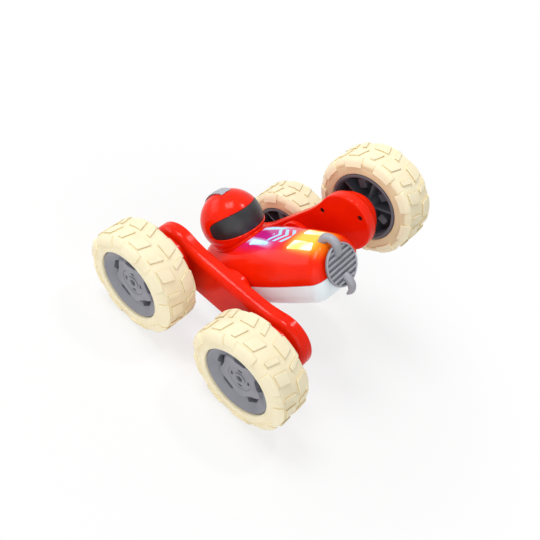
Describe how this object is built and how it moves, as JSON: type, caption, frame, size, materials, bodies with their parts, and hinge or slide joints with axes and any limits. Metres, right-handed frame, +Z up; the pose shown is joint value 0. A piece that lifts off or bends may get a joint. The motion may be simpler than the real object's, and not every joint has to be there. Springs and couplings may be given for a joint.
{
  "type": "rc stunt car",
  "caption": "Double-sided toy stunt car: red body with a driver's helmet and ribbed nose between two twisting swing arms that carry geared chunky-tyred wheels.",
  "frame": {"origin": "centre of the box's underside, on the ground that three tyres stand on", "axes": "+Z up, -Y forward along the level left arm, +X to the car's right"},
  "size_m": [0.1656, 0.1452, 0.1317],
  "materials": {
    "red_plastic": "glossy moulded",
    "white_plastic": "glossy moulded",
    "grey_plastic": "satin moulded",
    "charcoal_plastic": "satin moulded",
    "visor_plastic": "polished tinted",
    "cream_rubber": "matt moulded",
    "amber_window": "translucent",
    "blue_window": "translucent",
    "lamp_resin": "clear",
    "steel": "turned",
    "brass": "turned",
    "nylon": "moulded",
    "circuit_board": "lacquered",
    "battery_wrap": "shrink wrapped"
  },
  "bodies": {
    "body": {"battery_cover": "white_plastic", "battery_pack": "battery_wrap", "body_lower_shell": "white_plastic", "body_upper_shell": "red_plastic", "circuit_board": "circuit_board", "drive_motor_left": "steel", "drive_motor_right": "steel", "helmet_crest": "grey_plastic", "helmet_shell": "red_plastic", "helmet_visor": "visor_plastic", "lamp_front_left": "lamp_resin", "lamp_front_right": "lamp_resin", "lamp_rear_left": "lamp_resin", "lamp_rear_right": "lamp_resin", "light_window_front_left": "amber_window", "light_window_front_right": "amber_window", "light_window_rear_left": "blue_window", "light_window_rear_right": "blue_window", "nose_grille": "grey_plastic", "nose_horn_lower": "grey_plastic", "nose_horn_upper": "grey_plastic"},
    "arm_left": {"arm_left_inner_shell": "red_plastic", "arm_left_outer_shell": "red_plastic", "pivot_sleeve_left": "red_plastic", "front_left_bush": "brass", "rear_left_bush": "brass"},
    "arm_right": {"arm_right_inner_shell": "red_plastic", "arm_right_outer_shell": "red_plastic", "pivot_sleeve_right": "red_plastic", "front_right_bush": "brass", "rear_right_bush": "brass"},
    "wheel_front_left": {"front_left_tyre": "cream_rubber", "front_left_rim": "charcoal_plastic", "front_left_cap": "grey_plastic", "front_left_axle": "steel", "front_left_axle_gear": "nylon"},
    "wheel_rear_left": {"rear_left_tyre": "cream_rubber", "rear_left_rim": "charcoal_plastic", "rear_left_cap": "grey_plastic", "rear_left_axle": "steel", "rear_left_axle_gear": "nylon"},
    "wheel_front_right": {"front_right_tyre": "cream_rubber", "front_right_rim": "charcoal_plastic", "front_right_cap": "grey_plastic", "front_right_axle": "steel", "front_right_axle_gear": "nylon"},
    "wheel_rear_right": {"rear_right_tyre": "cream_rubber", "rear_right_rim": "charcoal_plastic", "rear_right_cap": "grey_plastic", "rear_right_axle": "steel", "rear_right_axle_gear": "nylon"},
    "pinion_left": {"drive_pinion_left": "brass"},
    "pinion_right": {"drive_pinion_right": "brass"},
    "idler_front_left": {"front_left_idler_gear": "nylon"},
    "idler_rear_left": {"rear_left_idler_gear": "nylon"},
    "idler_front_right": {"front_right_idler_gear": "nylon"},
    "idler_rear_right": {"rear_right_idler_gear": "nylon"},
    "switch": {"power_switch": "charcoal_plastic"}
  },
  "joints": [
    {"name": "swing_left", "type": "hinge", "parent": "body", "child": "arm_left", "pos_m": [-0.00446, 0, 0.04962], "axis": [0.9644, 0, 0.2645], "continuous": true},
    {"name": "swing_right", "type": "hinge", "parent": "body", "child": "arm_right", "pos_m": [-0.00446, 0, 0.04962], "axis": [0.9644, 0, 0.2645], "continuous": true},
    {"name": "spin_front_left", "type": "hinge", "parent": "arm_left", "child": "wheel_front_left", "pos_m": [-0.06377, -0.0406, 0.03335], "axis": [0.9644, 0, 0.2645], "continuous": true},
    {"name": "spin_rear_left", "type": "hinge", "parent": "arm_left", "child": "wheel_rear_left", "pos_m": [-0.06377, 0.0406, 0.03335], "axis": [0.9644, 0, 0.2645], "continuous": true},
    {"name": "spin_front_right", "type": "hinge", "parent": "arm_right", "child": "wheel_front_right", "pos_m": [0.04592, -0.02259, 0.09842], "axis": [0.9644, 0, 0.2645], "continuous": true},
    {"name": "spin_rear_right", "type": "hinge", "parent": "arm_right", "child": "wheel_rear_right", "pos_m": [0.06377, 0.02259, 0.03335], "axis": [0.9644, 0, 0.2645], "continuous": true},
    {"name": "spin_pinion_left", "type": "hinge", "parent": "arm_left", "child": "pinion_left", "pos_m": [-0.00446, 0, 0.04962], "axis": [0.9644, 0, 0.2645], "continuous": true},
    {"name": "spin_pinion_right", "type": "hinge", "parent": "arm_right", "child": "pinion_right", "pos_m": [-0.00446, 0, 0.04962], "axis": [0.9644, 0, 0.2645], "continuous": true},
    {"name": "spin_idler_front_left", "type": "hinge", "parent": "arm_left", "child": "idler_front_left", "pos_m": [-0.00446, -0.01692, 0.04962], "axis": [0.9644, 0, 0.2645], "continuous": true},
    {"name": "spin_idler_rear_left", "type": "hinge", "parent": "arm_left", "child": "idler_rear_left", "pos_m": [-0.00446, 0.01692, 0.04962], "axis": [0.9644, 0, 0.2645], "continuous": true},
    {"name": "spin_idler_front_right", "type": "hinge", "parent": "arm_right", "child": "idler_front_right", "pos_m": [-0.00818, -0.00941, 0.06318], "axis": [0.9644, 0, 0.2645], "continuous": true},
    {"name": "spin_idler_rear_right", "type": "hinge", "parent": "arm_right", "child": "idler_rear_right", "pos_m": [-0.00074, 0.00941, 0.03606], "axis": [0.9644, 0, 0.2645], "continuous": true},
    {"name": "switch_slide", "type": "slide", "parent": "body", "child": "switch", "axis": [-0.177, -0.7431, 0.6453], "range_m": [0, 0.004]}
  ],
  "couplings": [
    {"joint": "spin_rear_left", "follows": "spin_front_left", "ratio": 1},
    {"joint": "spin_pinion_left", "follows": "spin_front_left", "ratio": 2},
    {"joint": "spin_idler_front_left", "follows": "spin_front_left", "ratio": -1.3333},
    {"joint": "spin_idler_rear_left", "follows": "spin_front_left", "ratio": -1.3333},
    {"joint": "spin_rear_right", "follows": "spin_front_right", "ratio": 1},
    {"joint": "spin_pinion_right", "follows": "spin_front_right", "ratio": 2},
    {"joint": "spin_idler_front_right", "follows": "spin_front_right", "ratio": -1.3333},
    {"joint": "spin_idler_rear_right", "follows": "spin_front_right", "ratio": -1.3333}
  ]
}
